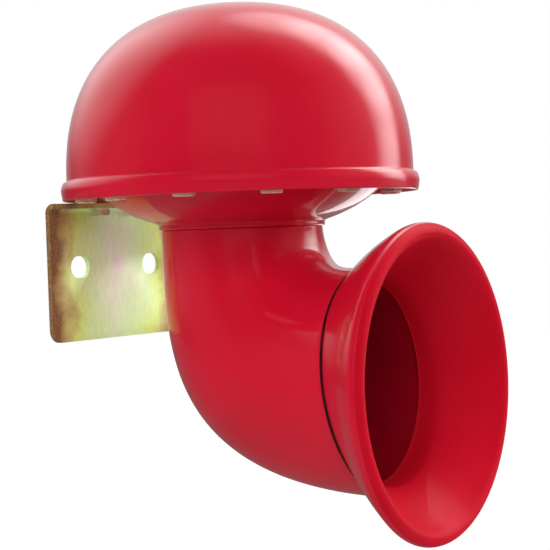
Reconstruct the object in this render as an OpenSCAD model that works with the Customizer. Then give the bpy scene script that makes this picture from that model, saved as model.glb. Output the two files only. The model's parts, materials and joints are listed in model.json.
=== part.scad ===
// Motor-driven diaphragm horn with a domed motor cover, a down-turned elbow, a flared bell and a wall bracket.
// The origin is on the wall, midway between the bracket's two fixing slots. +X leads away from the wall, the way
// the bell faces, and +Z is up. Heights and distances below are counted from the dome's axis and the level of the
// dome's bottom edge, and from_wall() moves each piece from there to the wall's frame.

/* [Dome cover] */
// Outside radius of the dome wall where it meets the rim band
dome_r = 64.8; // [64.4:0.1:65.2]
// Height of the dome above the rim band
dome_h = 64.6; // [63:0.5:75]
// Squareness of the dome's outline: 2 is an ellipse, more is boxier
dome_power = 2.37; // [2.2:0.01:2.6]
// Thickness of the pressed steel sheet
sheet = 1.2; // [0.9:0.1:1.4]
// Largest outside radius of the rim band
rim_r = 67; // [66.8:0.1:68]
// Height of the rim band's top above the dome's bottom edge
rim_top = 6.9; // [6.9:0.1:8]

/* [Diaphragm housing] */
// Outside radius of the bolted flange and of everything clamped to it
flange_r = 64.9; // [64:0.1:65]
// Height of the flange's underside
flange_z = 2.0; // [1.8:0.1:2.2]
// Radius at which the bowl starts below the flange
bowl_r = 53; // [52:0.5:53.5]
// Outside radius of the collar that holds the elbow
collar_r = 30.9; // [30.8:0.1:32]
// Level of the collar's lower end, where the elbow's shoulder meets it
collar_z = -11.9; // [-13:0.1:-11.5]

/* [Elbow] */
// Outside radius at the top of the elbow
elbow_inlet_r = 30.2; // [30:0.1:30.5]
// Wall thickness of the elbow
elbow_wall = 2.2; // [2:0.1:2.5]
// Outside radius at the elbow's outlet
elbow_outlet_r = 41.3; // [40.5:0.1:42]
// Distance from the dome's axis to the centre of the outlet
outlet_x = 58.9; // [57:0.1:62]
// Level of the centre of the outlet
outlet_z = -68.4; // [-72:0.1:-66]
// Lean of the outlet plane, top edge back towards the dome
outlet_lean = 7.3; // [4:0.1:9]

/* [Bell] */
// Outside radius of the rolled lip
mouth_r = 56.7; // [54:0.1:60]
// Distance from the dome's axis to the widest ring of the lip
mouth_x = 78.6; // [76:0.1:85]
// Level of the centre of the mouth
mouth_z = -68.9; // [-71:0.1:-68]
// Lean of the mouth's plane, top edge back towards the dome
mouth_lean = 1.3; // [0:0.1:7]
// Radius of the rolled lip's section
lip_r = 3.3; // [2.8:0.1:3.6]
// Wall thickness of the bell at its small end
bell_wall = 3.9; // [3.8:0.1:4.2]

/* [Bracket] */
// Thickness of the bracket's sheet
bracket_t = 2.0; // [1.5:0.1:2.2]
// Width of the bracket
bracket_w = 78; // [72:1:90]
// Distance from the dome's axis to the bracket's back, which lies on the wall
wall_x = 63; // [62.5:0.5:70]
// Level of the bracket's lower edge
bracket_bottom = -53; // [-60:0.5:-45]
// Distance between the centres of the two fixing slots
slot_spacing = 44; // [40:0.5:50]
// Level of the fixing slots
slot_z = -24.6; // [-28:0.1:-20]
// Width of each slot
slot_w = 8.5; // [6.5:0.1:9]
// End-to-end length of each slot
slot_len = 11; // [10:0.1:14]
// Radius of the plate's lower corners
corner_r = 5; // [2:0.5:8]

/* [Rim fasteners] */
// Number of screws around the rim, two of which also hold the bracket
screw_count = 12; // [12]
// Radius of the circle on which the rim screws stand
screw_circle_r = 58; // [57.8:0.1:58.2]
// Width across the flats of the screw heads and nuts
hex_af = 7; // [6.8:0.1:7]
// Height of the screw heads
hex_h = 2.8; // [2.4:0.1:3]
// Height of the spacers between the housing flange and the bracket
spacer_h = 2.3; // [2:0.1:3]

/* [Diaphragm stack] */
// Thickness of each gasket
gasket_t = 0.5; // [0.4:0.1:0.6]
// Thickness of the diaphragm
diaphragm_t = 0.4; // [0.3:0.05:0.5]
// Thickness of the chassis ring that carries the motor bridge
chassis_t = 2.0; // [1.8:0.1:2]
// Radius of the spreader washers at the diaphragm's centre
spreader_r = 11; // [8:0.5:14]

/* [Motor] */
// Outside radius of the motor's steel can
can_r = 22; // [21:0.5:23]
// Height of the motor's steel can
can_h = 30; // [29:0.5:32]
// Radius of the armature's laminated core
core_r = 16; // [15.5:0.5:16.5]
// Number of poles on the armature's core
pole_count = 7; // [5, 7, 9]
// Radius of the armature shaft
shaft_r = 2.5; // [2.3:0.1:2.6]
// Radius of the commutator
commutator_r = 5.5; // [5:0.1:6]
// Number of commutator bars
bar_count = 7; // [5, 7, 9]

/* [Ratchet wheel] */
// Mean radius of the face teeth, and so the motor's offset from the dome's axis
tooth_mean_r = 9; // [8.5:0.1:10]
// Number of face teeth on the wheel
tooth_count = 10; // [8:1:12]
// Height of the face teeth
tooth_h = 1.2; // [0.8:0.1:1.4]
// Gap between the teeth and the anvil at rest
anvil_gap = 0.1; // [0.05:0.05:0.3]

/* [Thrust adjuster] */
// Length of the thrust screw's threaded shank
thrust_screw_len = 7; // [6:0.5:8]
// Gap between the thrust pad and the end of the shaft at rest
thrust_gap = 0.3; // [0.25:0.05:0.5]

/* [Hidden] */
$fn = 96;

// Small gap between pieces that are assembled by hand, and the radial gap of a running fit
fit_gap = 0.05;
// Sideways gap of a screw in a plain hole
hole_gap = 0.2;
// Overlap that keeps cuts clear of the faces they pass through
cut = 1;
// Overlap that joins two shapes of one piece
joined = 0.01;

// Screw sizes
m4_r = 2;
m3_r = 1.5;
m3_head_r = 2.75;
m3_head_h = 1.8;
screw_slot_w = 0.8;
screw_slot_depth = 0.8;
// How far the rim screws stand out of their nuts
tip_reach = 0.8;
// Chamfer on hexagon heads: its slope, and how far inside the flats it starts
hex_chamfer_run = 1.4;
hex_chamfer_in = 0.1;

// Levels of the clamped stack, from the bottom up
flange_top = flange_z + sheet;
diaphragm_z = flange_top + gasket_t;
upper_gasket_z = diaphragm_z + diaphragm_t;
chassis_z = upper_gasket_z + gasket_t;
cover_ring_z = chassis_z + chassis_t;
cover_ring_t = 1.5;
nut_z = cover_ring_z + cover_ring_t;
nut_h = 3.2;
clamp_inner_r = bowl_r;
chassis_inner_r = 45.5;
cover_ring_inner_r = bowl_r + 0.5;
flange_hole_r = m4_r + hole_gap;

// Angles of the rim screws: the bracket hangs on the two that stand either side of -X
screw_step = 360 / screw_count;
screw_angles = [for (i = [0:screw_count - 1]) (i + 0.5) * screw_step];
bracket_angles = [180 - screw_step / 2, 180 + screw_step / 2];
rim_angles = [for (a = screw_angles) if (abs(a - 180) > screw_step) a];

// Inside surfaces of the dome
dome_inner_r = dome_r - sheet;
dome_inner_h = dome_h - sheet;

// Motor levels, from the ratchet wheel up
motor_x = -tooth_mean_r;
diaphragm_top = upper_gasket_z;
washer_t = 1;
anvil_head_h = 3;
anvil_top = diaphragm_top + washer_t + anvil_head_h;
tooth_tip_z = anvil_top + anvil_gap;
wheel_z = tooth_tip_z + tooth_h;
wheel_t = 3;
wheel_r = tooth_mean_r + 3.2;
hub_h = 2;
bridge_z = 15.5;
bridge_t = 2.5;
can_z = bridge_z + bridge_t;
can_wall = 1.6;
can_base_t = 1.6;
can_top = can_z + can_h;
card_t = 1.6;
card_z = can_top;
cap_wall = 1.6;
cap_z = card_z + card_t;
cap_h = 10.5;
cap_top = cap_z + cap_h;
boss_h = 2.5;
boss_r = 7.5;
upper_bush_h = 3;
// The shaft stops short of the wheel's face, and has a flat for the wheel's set screw
shaft_seat = 0.4;
shaft_flat = 0.4;
shaft_bottom = wheel_z + shaft_seat;
shaft_top = cap_top - 1.8;
bush_r = 4.6;
bush_flange_r = 6.4;
bush_flange_t = 1;
bore_r = shaft_r + fit_gap;
// Hairline gap round pieces that are pressed together
press_gap = 0.01;
seat_r = bush_r + press_gap;
core_z = can_z + 6;
core_h = 16;
pole_w = 3.6;
commutator_z = card_z - 1;
commutator_h = 7.5;
magnet_inner_r = core_r + 0.6;
magnet_outer_r = can_r - can_wall - fit_gap;

// Brush gear
brush_w = 3.6;
brush_h = 4;
brush_len = 6;
brush_z = card_z + card_t + 0.4 + brush_h / 2;
brush_in = commutator_r + fit_gap;
holder_wall = 0.6;
holder_in = brush_in + 1.5;
holder_out = 18.4;
spring_r = 1.3;
spring_wire_r = 0.25;
spring_turns = 5;

// Thrust adjuster
m5_r = 2.5;
pad_r = 1.7;
pad_h = 1.2;
pad_z = shaft_top + thrust_gap;
thrust_z = pad_z + pad_h;
lock_nut_h = 2.6;
lock_nut_af = 8;

// Terminals, on the +Y side of the dome
terminal_z = 22;
block_w = 26;
block_h = 12;
block_plug_w = 20;
block_plug_h = 7;
tab_w = 6.3;
tab_t = 0.8;
tab_offset = 5.9;
tab_in_y = dome_r - 10;
tab_len = 23;
plate_t = 4;
rivet_r = 1;
rivet_head_r = 1.5;
rivet_head_h = 0.8;
rivet_x = block_w / 2 - rivet_head_r;
// Cuts through the dome's +Y side run outwards from here
side_cut_y = 40;
side_cut_len = 60;

// Motor leads and the windows that they leave the end cap by
lead_r = 1.1;
window_x = 9;
window_z = cap_z + 4;
window_r = 1.6;

// ---- Shared shapes ----

// The children moved from the dome's own axis and bottom edge to the frame on the wall
module from_wall() {
  translate([wall_x, 0, -slot_z]) children();
}

// A ring with a square section
module ring(outer_r, inner_r, z, h) {
  translate([0, 0, z]) difference() {
    cylinder(r = outer_r, h = h);
    translate([0, 0, -cut]) cylinder(r = inner_r, h = h + 2 * cut);
  }
}

// A hexagonal prism, sized by the width across its flats
module hex_prism(af, h) {
  cylinder(r = af / sqrt(3), h = h, $fn = 6);
}

// A hexagon-head screw that points up, with its head under z
module hex_screw(z, tip_z) {
  translate([0, 0, z - hex_h]) intersection() {
    hex_prism(hex_af, hex_h);
    cylinder(r1 = hex_af / 2 - hex_chamfer_in, r2 = hex_af / 2 + hex_h * hex_chamfer_run, h = hex_h);
  }
  translate([0, 0, z - joined]) cylinder(r = m4_r - fit_gap, h = tip_z - z + joined);
}

// A pan-head screw that points down, with its head on z
module pan_screw(z, tip_z) {
  difference() {
    union() {
      translate([0, 0, z]) cylinder(r = m3_head_r, h = m3_head_h);
      translate([0, 0, tip_z]) cylinder(r = m3_r - fit_gap, h = z - tip_z + joined);
    }
    translate([-m3_head_r, -screw_slot_w / 2, z + m3_head_h - screw_slot_depth])
      cube([2 * m3_head_r, screw_slot_w, cut]);
  }
}

// Copies of the children at the given angles on a circle
module on_circle(r, angles) {
  for (a = angles) rotate([0, 0, a]) translate([r, 0, 0]) children();
}

// The children moved onto the motor's axis
module at_motor() {
  translate([motor_x, 0, 0]) children();
}

// Holes for the rim screws through one clamped layer
module rim_holes(z, h) {
  on_circle(screw_circle_r, screw_angles)
    translate([0, 0, z - cut]) cylinder(r = flange_hole_r, h = h + 2 * cut, $fn = 32);
}

// One flat ring of the clamped stack
module clamped_ring(outer_r, inner_r, z, h) {
  difference() {
    ring(outer_r, inner_r, z, h);
    rim_holes(z, h);
  }
}

// A round tube of radius r along a path of points. The vector aside is never parallel to the path.
module swept_tube(path, r, aside, sides = 8) {
  last = len(path) - 1;
  function ring_at(i) =
    let (along = path[min(i + 1, last)] - path[max(i - 1, 0)], u = cross(along, aside), v = cross(along, u))
    [for (k = [0:sides - 1]) let (t = 360 * k / sides)
      path[i] + r * (cos(t) * u / norm(u) + sin(t) * v / norm(v))];
  points = [for (i = [0:last]) each ring_at(i)];
  walls = [for (i = [0:last - 1]) for (k = [0:sides - 1])
    let (a = i * sides + k, b = i * sides + (k + 1) % sides)
    each [[a, a + sides, b], [b, a + sides, b + sides]]];
  ends = [[for (k = [0:sides - 1]) k], [for (k = [sides - 1:-1:0]) last * sides + k]];
  polyhedron(points = points, faces = concat(walls, ends), convexity = 10);
}

// A closed skin through a loop of rings, each a list of the same number of points
module ring_skin(rings) {
  n = len(rings[0]);
  m = len(rings);
  points = [for (r = rings) for (p = r) p];
  faces = [for (i = [0:m - 1]) for (j = [0:n - 1])
    let (this = i * n, next = ((i + 1) % m) * n, k = (j + 1) % n)
    each [[this + j, next + j, this + k], [this + k, next + j, next + k]]];
  polyhedron(points = points, faces = faces, convexity = 6);
}

// ---- Dome cover ----

// Outline of a dome: from its foot on the radius r up to its top at height h
function dome_curve(r, h, steps) = [for (i = [0:steps])
  let (t = 90 * i / steps)
  [r * pow(cos(t), 2 / dome_power), rim_top + h * pow(sin(t), 2 / dome_power)]];

function reversed(list) = [for (i = [len(list) - 1:-1:0]) list[i]];

module dome_profile() {
  outer = dome_curve(dome_r, dome_h, 32);
  inner = dome_curve(dome_inner_r, dome_inner_h, 32);
  rim_outer = [
    [rim_r - 1.4, 0], [rim_r - 0.6, 0.3], [rim_r - 0.2, 2.2], [rim_r, 4],
    [rim_r - 0.3, 5.4], [rim_r - 1.3, rim_top - 0.2]
  ];
  rim_inner = [
    [dome_inner_r, cover_ring_z], [flange_r + 0.1, cover_ring_z],
    [rim_r - sheet - 0.2, 3.5], [rim_r - 1.8, 0.3]
  ];
  polygon(concat(rim_outer, outer, reversed(inner), rim_inner));
}

module dome_cover() {
  color("red") from_wall() difference() {
    rotate_extrude() dome_profile();
    translate([-block_plug_w / 2 - fit_gap, side_cut_y, terminal_z - block_plug_h / 2 - fit_gap])
      cube([block_plug_w + 2 * fit_gap, side_cut_len, block_plug_h + 2 * fit_gap]);
    rivet_holes();
  }
}

module cover_ring() {
  color("firebrick") from_wall()
    clamped_ring(dome_inner_r - fit_gap, cover_ring_inner_r, cover_ring_z, cover_ring_t);
}

module captive_nuts() {
  color("goldenrod") from_wall() on_circle(screw_circle_r, screw_angles) translate([0, 0, nut_z])
    difference() {
      rotate([0, 0, 30]) hex_prism(hex_af, nut_h);
      translate([0, 0, -cut]) cylinder(r = m4_r, h = nut_h + 2 * cut, $fn = 32);
    }
}

// ---- Diaphragm housing, elbow and bell ----

spigot_h = 5;
spigot_r = elbow_inlet_r - 0.8;

module diaphragm_housing() {
  rise = flange_z - collar_z;
  slope = bowl_r - collar_r;
  // The bowl's outside, as fractions of its run in from the flange and of its depth
  bowl = [
    [0, 0], [0.08, 0.09], [0.2, 0.25], [0.4, 0.46], [0.6, 0.62], [0.8, 0.75], [0.95, 0.84], [1, 0.9], [1, 1]
  ];
  outer = [for (p = bowl) [bowl_r - p[0] * slope, flange_z - p[1] * rise]];
  collar_inner_r = spigot_r + fit_gap;
  inner = [
    [collar_inner_r, collar_z], [collar_inner_r, collar_z + spigot_h],
    for (i = [6:-1:1]) [outer[i][0] - 0.4, outer[i][1] + sheet + 0.3],
    [bowl_r - 1.6, flange_top]
  ];
  color("red") from_wall() difference() {
    rotate_extrude() polygon(concat([[flange_r, flange_top], [flange_r, flange_z]], outer, inner));
    rim_holes(flange_z, sheet);
  }
}

// A point on a cubic curve with end points a and d and handles b and c
function cubic(a, b, c, d, u) =
  pow(1 - u, 3) * a + 3 * pow(1 - u, 2) * u * b + 3 * (1 - u) * u * u * c + pow(u, 3) * d;

// The elbow's outline in the plane of its bend: the short inner curve and the long outer one. Each leaves the
// inlet straight down and reaches the outlet along its handle.
short_inlet_handle = 3;
long_inlet_handle = 59.4;
short_outlet_handle = [27.6, 3];
long_outlet_handle = [79.7, 0];
outlet_across = [-sin(outlet_lean), cos(outlet_lean)];
outlet_top = [outlet_x, outlet_z] + elbow_outlet_r * outlet_across;
outlet_bottom = [outlet_x, outlet_z] - elbow_outlet_r * outlet_across;
function elbow_inner_curve(u) =
  cubic([elbow_inlet_r, collar_z], [elbow_inlet_r, collar_z - short_inlet_handle],
    outlet_top - short_outlet_handle, outlet_top, u);
function elbow_outer_curve(u) =
  cubic([-elbow_inlet_r, collar_z], [-elbow_inlet_r, collar_z - long_inlet_handle],
    outlet_bottom - long_outlet_handle, outlet_bottom, u);

loft_sides = 64;

// A ring of points in a plane across the bend: middle and across are in X and Z
function cross_ring(middle, across, r) = [for (j = [0:loft_sides - 1])
  let (t = 360 * j / loft_sides)
  [middle[0] + r * cos(t) * across[0], r * sin(t), middle[1] + r * cos(t) * across[1]]];

// The elbow's section at u, from 0 at the inlet to 1 at the outlet, made smaller by inset
function elbow_ring(u, inset) =
  let (a = elbow_inner_curve(u), b = elbow_outer_curve(u), half = (a - b) / 2, r = norm(half))
  cross_ring((a + b) / 2, half / r, r - inset);

module elbow() {
  steps = 22;
  inlet_inner_r = elbow_inlet_r - elbow_wall;
  color("red") from_wall() ring_skin([
    cross_ring([0, collar_z + spigot_h], [1, 0], spigot_r),
    cross_ring([0, collar_z], [1, 0], spigot_r),
    for (i = [0:steps]) elbow_ring(i / steps, 0),
    for (i = [steps:-1:0]) elbow_ring(i / steps, elbow_wall),
    cross_ring([0, collar_z + spigot_h], [1, 0], inlet_inner_r)
  ]);
}

// The bell's section at v, from 0 at the elbow to 1 at the widest ring: the lean changes evenly on the way
function bell_middle(v) = [outlet_x, outlet_z] * (1 - v) + [mouth_x, mouth_z] * v;
function bell_across(v) = let (lean = outlet_lean * (1 - v) + mouth_lean * v) [-sin(lean), cos(lean)];
// The bell starts a little wider than the elbow, and swells a little over a straight cone
bell_step = 0.2;
flare_swell = 0.22;
function bell_radius(v) = let (widening = v + flare_swell * v * (1 - v))
  elbow_outlet_r + bell_step + (mouth_r - elbow_outlet_r - bell_step) * widening;
function bell_ring(v, inset) = cross_ring(bell_middle(v), bell_across(v), bell_radius(v) - inset);

// The rolled lip's section, turned by angle from straight out to straight in
function lip_ring(angle) = cross_ring(
  [mouth_x, mouth_z] + lip_r * sin(angle) * [cos(mouth_lean), sin(mouth_lean)],
  bell_across(1), mouth_r - lip_r * (1 - cos(angle)));

module bell() {
  steps = 10;
  // The bell's spigot stands in the elbow's outlet over the last part of its length
  spigot_gap = elbow_wall + 0.2;
  spigot_wall = 1.4;
  spigot_depth = 0.04;
  // The funnel inside widens slowly from the throat, then faster towards the lip
  throat_r = elbow_outlet_r + bell_step - bell_wall;
  funnel_r = mouth_r - 2 * lip_r - 0.4;
  funnel_power = 1.3;
  function inset(v) = bell_radius(v) - throat_r - (funnel_r - throat_r) * pow(v, funnel_power);
  color("red") from_wall() ring_skin([
    elbow_ring(1 - spigot_depth, spigot_gap),
    elbow_ring(1, spigot_gap),
    for (i = [0:steps]) bell_ring((i + 0.02) / (steps + 0.02), 0),
    for (a = [30:30:150]) lip_ring(a),
    for (i = [steps:-1:1]) bell_ring(i / steps, inset(i / steps)),
    elbow_ring(1, spigot_gap + spigot_wall),
    elbow_ring(1 - spigot_depth, spigot_gap + spigot_wall)
  ]);
}

// ---- Bracket and rim fasteners ----

shelf_top = flange_z - spacer_h;
shelf_bottom = shelf_top - bracket_t;
shelf_x = -51.5;
bend_r = 1.5;
shelf_corner_cut = 11;
spacer_r = 4.4;

// The bracket's section: an upright plate, a bend, and a shelf under the dome's rim
module bracket_section() {
  centre = [-wall_x + bracket_t + bend_r, shelf_bottom - bend_r];
  translate([-wall_x, bracket_bottom]) square([bracket_t, centre[1] - bracket_bottom]);
  translate([centre[0], shelf_bottom]) square([shelf_x - centre[0], bracket_t]);
  intersection() {
    translate(centre) difference() {
      circle(r = bend_r + bracket_t);
      circle(r = bend_r);
    }
    translate([-wall_x, centre[1]]) square(bend_r + bracket_t);
  }
}

// The plate's outline seen from the wall, with rounded lower corners
module plate_outline() {
  half = bracket_w / 2;
  difference() {
    translate([-half, bracket_bottom]) square([bracket_w, shelf_top - bracket_bottom]);
    for (side = [-1, 1]) translate([side * half, bracket_bottom]) difference() {
      square(2 * corner_r, center = true);
      translate([-side * corner_r, corner_r]) circle(r = corner_r);
    }
  }
}

module slot_outline() {
  half_run = (slot_len - slot_w) / 2;
  for (side = [-1, 1]) translate([side * half_run, 0]) circle(r = slot_w / 2);
  square([2 * half_run, slot_w], center = true);
}

module bracket() {
  color("khaki") from_wall() difference() {
    intersection() {
      rotate([90, 0, 0]) linear_extrude(bracket_w, center = true) bracket_section();
      rotate([90, 0, 90]) linear_extrude(4 * wall_x, center = true) plate_outline();
    }
    for (side = [-1, 1]) translate([-wall_x - cut, side * slot_spacing / 2, slot_z])
      rotate([90, 0, 90]) linear_extrude(bracket_t + 2 * cut) slot_outline();
    on_circle(screw_circle_r, bracket_angles)
      translate([0, 0, shelf_bottom - cut]) cylinder(r = flange_hole_r, h = bracket_t + 2 * cut, $fn = 32);
    // The shelf's front corners are cut back
    for (side = [-1, 1]) translate([shelf_x, side * bracket_w / 2, 0])
      rotate([0, 0, 45]) cube([shelf_corner_cut, shelf_corner_cut, 20], center = true);
  }
}

module bracket_spacers() {
  color("goldenrod") from_wall() on_circle(screw_circle_r, bracket_angles)
    ring(spacer_r, flange_hole_r, shelf_top, spacer_h);
}

module bracket_screws() {
  color("goldenrod") from_wall() on_circle(screw_circle_r, bracket_angles)
    hex_screw(shelf_bottom, nut_z + nut_h + tip_reach);
}

module rim_screws() {
  color("goldenrod") from_wall() on_circle(screw_circle_r, rim_angles)
    hex_screw(flange_z, nut_z + nut_h + tip_reach);
}

// ---- Clamped stack ----

module lower_gasket() {
  color("dimgray") from_wall() clamped_ring(flange_r, clamp_inner_r, flange_top, gasket_t);
}

module upper_gasket() {
  color("dimgray") from_wall() clamped_ring(flange_r, clamp_inner_r, upper_gasket_z, gasket_t);
}

module diaphragm() {
  color("lightsteelblue") from_wall() clamped_ring(flange_r, m4_r + fit_gap, diaphragm_z, diaphragm_t);
}

module chassis_ring() {
  color("silver") from_wall() difference() {
    clamped_ring(flange_r, chassis_inner_r, chassis_z, chassis_t);
    bridge_screw_places() translate([0, 0, chassis_z - cut])
      cylinder(r = m3_r, h = chassis_t + 2 * cut, $fn = 32);
  }
}

// ---- Anvil ----

module anvil_stud() {
  crown_h = 0.6;
  head_r = 3.5;
  head_z = diaphragm_top + washer_t;
  tip_z = diaphragm_z - washer_t - hex_h - tip_reach;
  color("slategray") from_wall() union() {
    translate([0, 0, head_z]) cylinder(r = head_r, h = anvil_head_h - crown_h);
    translate([0, 0, anvil_top - crown_h]) cylinder(r1 = head_r, r2 = head_r - 0.9, h = crown_h);
    translate([0, 0, tip_z]) cylinder(r = m4_r, h = head_z - tip_z + joined);
  }
}

module anvil_washers() {
  color("silver") from_wall() {
    ring(spreader_r, m4_r + fit_gap, diaphragm_top, washer_t);
    ring(spreader_r, m4_r + fit_gap, diaphragm_z - washer_t, washer_t);
  }
}

module anvil_nut() {
  color("silver") from_wall() translate([0, 0, diaphragm_z - washer_t - hex_h]) difference() {
    hex_prism(hex_af, hex_h);
    translate([0, 0, -cut]) cylinder(r = m4_r + fit_gap, h = hex_h + 2 * cut, $fn = 32);
  }
}

// ---- Motor bridge and can ----

foot_t = 2;
foot_x = 49.6;
foot_screw_y = 4.5;
foot_end = 52.4;
leg_x = 45.6;
strap_w = 16;

module bridge_screw_places() {
  for (sx = [-1, 1]) for (sy = [-1, 1]) translate([sx * foot_x, sy * foot_screw_y, 0]) children();
}

module bridge_section() {
  top = bridge_z + bridge_t;
  foot_top = cover_ring_z + foot_t;
  polygon([
    [-foot_end, cover_ring_z], [-leg_x + foot_t, cover_ring_z], [-leg_x + foot_t, bridge_z],
    [leg_x - foot_t, bridge_z], [leg_x - foot_t, cover_ring_z], [foot_end, cover_ring_z],
    [foot_end, foot_top], [leg_x, foot_top], [leg_x, top],
    [-leg_x, top], [-leg_x, foot_top], [-foot_end, foot_top]
  ]);
}

can_screw_r = 14;
can_screw_angles = [90, 270];
// Radius of the lugs that the cap screws pass through and into
lug_r = 3;

module motor_bridge() {
  color("lightsteelblue") from_wall() difference() {
    intersection() {
      rotate([90, 0, 0]) linear_extrude(2 * can_r, center = true) bridge_section();
      // The strap widens to a round seat under the motor
      union() {
        translate([-foot_end - cut, -strap_w / 2, 0]) cube([2 * foot_end + 2 * cut, strap_w, can_z + cut]);
        at_motor() cylinder(r = can_r - 1, h = can_z + cut);
      }
    }
    at_motor() {
      translate([0, 0, bridge_z - cut]) cylinder(r = seat_r, h = bridge_t + 2 * cut);
      on_circle(can_screw_r, can_screw_angles)
        translate([0, 0, bridge_z - cut]) cylinder(r = m3_r + hole_gap, h = bridge_t + 2 * cut, $fn = 32);
    }
    bridge_screw_places() translate([0, 0, cover_ring_z - cut])
      cylinder(r = m3_r + hole_gap, h = foot_t + 2 * cut, $fn = 32);
  }
}

module bridge_screws() {
  color("silver") from_wall() bridge_screw_places() pan_screw(cover_ring_z + foot_t, chassis_z + 0.2);
}

module can_screws() {
  color("silver") from_wall() at_motor() on_circle(can_screw_r, can_screw_angles)
    translate([0, 0, bridge_z]) rotate([180, 0, 0]) pan_screw(0, -bridge_t - can_base_t - 0.6);
}

// A flanged sintered bush, with its flange at its top or at its bottom
module bush(z, h, flange_at) {
  difference() {
    union() {
      translate([0, 0, z]) cylinder(r = bush_r, h = h);
      translate([0, 0, flange_at]) cylinder(r = bush_flange_r, h = bush_flange_t);
    }
    translate([0, 0, z - 5 * cut]) cylinder(r = bore_r, h = h + 10 * cut);
  }
}

module lower_bush() {
  color("peru") from_wall() at_motor()
    bush(bridge_z, bridge_t + can_base_t + bush_flange_t, can_z + can_base_t);
}

module motor_can() {
  lug_h = 6;
  color("gray") from_wall() at_motor() difference() {
    translate([0, 0, can_z]) cylinder(r = can_r, h = can_h);
    // The hollow, apart from two tapped lugs for the cap screws
    difference() {
      translate([0, 0, can_z + can_base_t]) cylinder(r = can_r - can_wall, h = can_h);
      card_screw_places() translate([0, 0, can_top - lug_h]) cylinder(r = lug_r, h = lug_h + can_h);
    }
    card_screw_places() translate([0, 0, can_top - lug_h - cut])
      cylinder(r = m3_r, h = lug_h + 2 * cut, $fn = 32);
    translate([0, 0, can_z - cut]) cylinder(r = seat_r, h = can_base_t + 2 * cut);
    on_circle(can_screw_r, can_screw_angles)
      translate([0, 0, can_z - cut]) cylinder(r = m3_r, h = can_base_t + 2 * cut, $fn = 32);
  }
}

module magnets() {
  magnet_span = 130;
  color("dimgray") from_wall() at_motor() for (side = [0, 180])
    rotate([0, 0, side - magnet_span / 2]) translate([0, 0, core_z - 1])
      rotate_extrude(angle = magnet_span)
        translate([magnet_inner_r, 0]) square([magnet_outer_r - magnet_inner_r, core_h + 2]);
}

// ---- Armature ----

module armature_shaft() {
  color("silver") from_wall() at_motor() difference() {
    translate([0, 0, shaft_bottom]) cylinder(r = shaft_r, h = shaft_top - shaft_bottom);
    // A flat for the wheel's set screw
    translate([shaft_r - shaft_flat, -shaft_r, shaft_bottom - cut])
      cube([2, 2 * shaft_r, cut + wheel_t + hub_h - shaft_seat]);
  }
}

// The lamination: a hub with poles that end in wide shoes
module lamination() {
  shoe_t = 2;
  hub_r = 6.5;
  slot_mouth = 360 / pole_count * 0.22;
  difference() {
    union() {
      circle(r = hub_r);
      for (i = [0:pole_count - 1]) rotate(i * 360 / pole_count)
        translate([0, -pole_w / 2]) square([core_r - shoe_t / 2, pole_w]);
      difference() {
        circle(r = core_r);
        circle(r = core_r - shoe_t);
        for (i = [0:pole_count - 1]) rotate((i + 0.5) * 360 / pole_count)
          polygon([[0, 0], [30 * cos(slot_mouth / 2), -30 * sin(slot_mouth / 2)],
            [30 * cos(slot_mouth / 2), 30 * sin(slot_mouth / 2)]]);
      }
    }
    circle(r = shaft_r + press_gap);
  }
}

module armature_core() {
  color("darkgray") from_wall() at_motor() translate([0, 0, core_z]) linear_extrude(core_h) lamination();
}

// One coil around each pole, clear of its neighbours
module armature_windings() {
  coil_in = 7.4;
  coil_out = core_r - 2.4;
  coil_w = 6;
  over = 1.8;
  gap_w = pole_w + 2 * fit_gap;
  color("chocolate") from_wall() at_motor() for (i = [0:pole_count - 1]) rotate([0, 0, i * 360 / pole_count])
    intersection() {
      translate([coil_in, -coil_w / 2, core_z - over]) difference() {
        cube([coil_out - coil_in, coil_w, core_h + 2 * over]);
        translate([-cut, (coil_w - gap_w) / 2, over - fit_gap])
          cube([coil_out - coil_in + 2 * cut, gap_w, core_h + 2 * fit_gap]);
      }
      rotate([0, 0, -180 / pole_count + 0.8]) rotate_extrude(angle = 360 / pole_count - 1.6)
        translate([coil_in, core_z - 5]) square([coil_out, core_h + 10]);
    }
}

module commutator() {
  color("peru") from_wall() at_motor() difference() {
    union() {
      translate([0, 0, commutator_z]) cylinder(r = commutator_r, h = commutator_h);
      translate([0, 0, commutator_z]) cylinder(r = commutator_r + 1.4, h = 1.2);
    }
    translate([0, 0, commutator_z - cut]) cylinder(r = shaft_r + press_gap, h = commutator_h + 2 * cut);
    for (i = [0:bar_count - 1]) rotate([0, 0, (i + 0.5) * 360 / bar_count])
      translate([commutator_r - 0.6, -0.2, commutator_z - cut]) cube([3, 0.4, commutator_h + 2 * cut]);
  }
}

// A sawtooth wedge that runs along the radius, with a narrow flat at its tip and its root let into the wheel
module face_tooth() {
  run = 2 * PI * tooth_mean_r / tooth_count * 0.78;
  width = 5;
  flat = 0.8;
  root = 0.2;
  translate([tooth_mean_r - width / 2, 0, 0]) rotate([90, 0, 90]) linear_extrude(width)
    polygon([[-run / 2, wheel_z + root], [-run / 2, wheel_z], [run / 2 - flat, tooth_tip_z],
      [run / 2, tooth_tip_z], [run / 2, wheel_z + root]]);
}

// Level and length of the set screw that holds the wheel to the shaft
set_screw_z = wheel_z + wheel_t - 1 + hub_h / 2;
set_screw_len = 3.6;

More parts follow.
